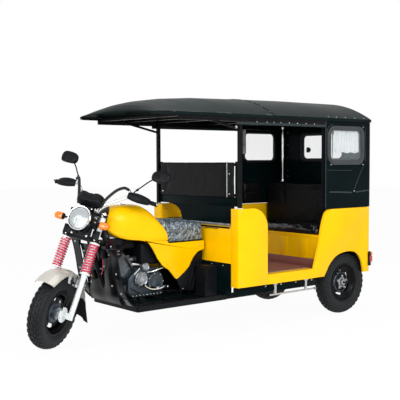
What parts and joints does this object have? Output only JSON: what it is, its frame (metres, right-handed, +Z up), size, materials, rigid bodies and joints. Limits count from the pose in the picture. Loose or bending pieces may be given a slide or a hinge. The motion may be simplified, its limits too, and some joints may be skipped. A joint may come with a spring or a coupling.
{
  "type": "auto rickshaw",
  "caption": "Passenger tricycle with a motorcycle front: steered front wheel, straddled saddle and tank, and a roofed cabin with facing benches over two rear wheels.",
  "frame": {"origin": "on the ground under the middle of the bounding box", "axes": "+Z up, front towards -Y, the vehicle's left towards +X"},
  "size_m": [1.176, 3.296, 1.944],
  "materials": {
    "amber_lens": "gloss",
    "bench_cover": "satin",
    "black_gloss": "gloss",
    "black_plastic": "matte",
    "black_steel": "satin",
    "bright_chrome": "polished",
    "curtain_cloth": "matte",
    "engine_metal": "satin",
    "fender_grey": "gloss",
    "floor_mat": "matte",
    "red_lens": "gloss",
    "seat_cover": "satin",
    "soft_rubber": "matte",
    "spring_red": "gloss",
    "tyre_rubber": "matte",
    "white_paint": "gloss",
    "window_glass": "gloss",
    "yellow_paint": "gloss"
  },
  "bodies": {
    "body": {"battery_box": "black_plastic", "cabin_floor": "floor_mat", "canopy_frame": "black_steel", "chassis_frame": "black_steel", "curtains": "curtain_cloth", "driver_seat": "seat_cover", "engine": "engine_metal", "exhaust": "black_steel", "foot_levers": "bright_chrome", "front_backrest": "bench_cover", "front_bench": "bench_cover", "front_bulkhead": "yellow_paint", "fuel_tank": "yellow_paint", "grab_poles": "bright_chrome", "leaf_springs": "black_steel", "leg_guards": "black_gloss", "plate_bracket": "black_steel", "propeller_shaft": "black_steel", "quarters": "yellow_paint", "rear_axle": "black_steel", "rear_backrest": "bench_cover", "rear_bench_base": "yellow_paint", "rear_bench_cushion": "bench_cover", "rear_covers": "black_plastic", "rear_lower_panel": "yellow_paint", "rear_upper_panel": "black_gloss", "roof_front": "black_gloss", "roof_rear": "black_gloss", "side_backrests": "bench_cover", "side_covers": "yellow_paint", "side_steps": "bright_chrome", "sills": "yellow_paint", "tail_lights": "red_lens", "upper_quarters": "black_gloss", "wheelhouses": "black_steel", "window_frames": "soft_rubber", "window_panes": "window_glass", "wings": "yellow_paint"},
    "fork": {"control_cables": "soft_rubber", "hand_levers": "black_plastic", "fork_legs": "white_paint", "fork_springs": "spring_red", "fork_yokes": "black_steel", "handlebar": "bright_chrome", "grips": "soft_rubber", "mirrors": "black_plastic", "instrument_cluster": "black_plastic", "headlight": "bright_chrome", "indicators": "amber_lens", "front_fender": "fender_grey", "mud_flap": "soft_rubber"},
    "front_wheel": {"front_tyre": "tyre_rubber", "front_rim": "black_steel"},
    "rear_wheel_left": {"rear_tyre_left": "tyre_rubber", "rear_rim_left": "black_steel"},
    "rear_wheel_right": {"rear_tyre_right": "tyre_rubber", "rear_rim_right": "black_steel"}
  },
  "joints": [
    {"name": "steering", "type": "hinge", "parent": "body", "child": "fork", "pos_m": [0, -1.345, 0.2587], "axis": [0, 0.3795, 0.9252], "range_deg": [-70.2, 9.8]},
    {"name": "front_wheel_spin", "type": "hinge", "parent": "fork", "child": "front_wheel", "pos_m": [0.02867, -1.39058, 0.2774], "axis": [0.8643, 0.4654, -0.1909], "continuous": true},
    {"name": "rear_wheel_left_spin", "type": "hinge", "parent": "body", "child": "rear_wheel_left", "pos_m": [0.4595, 1.326, 0.285], "axis": [1, 0, 0], "continuous": true},
    {"name": "rear_wheel_right_spin", "type": "hinge", "parent": "body", "child": "rear_wheel_right", "pos_m": [-0.4595, 1.326, 0.285], "axis": [1, 0, 0], "continuous": true}
  ]
}
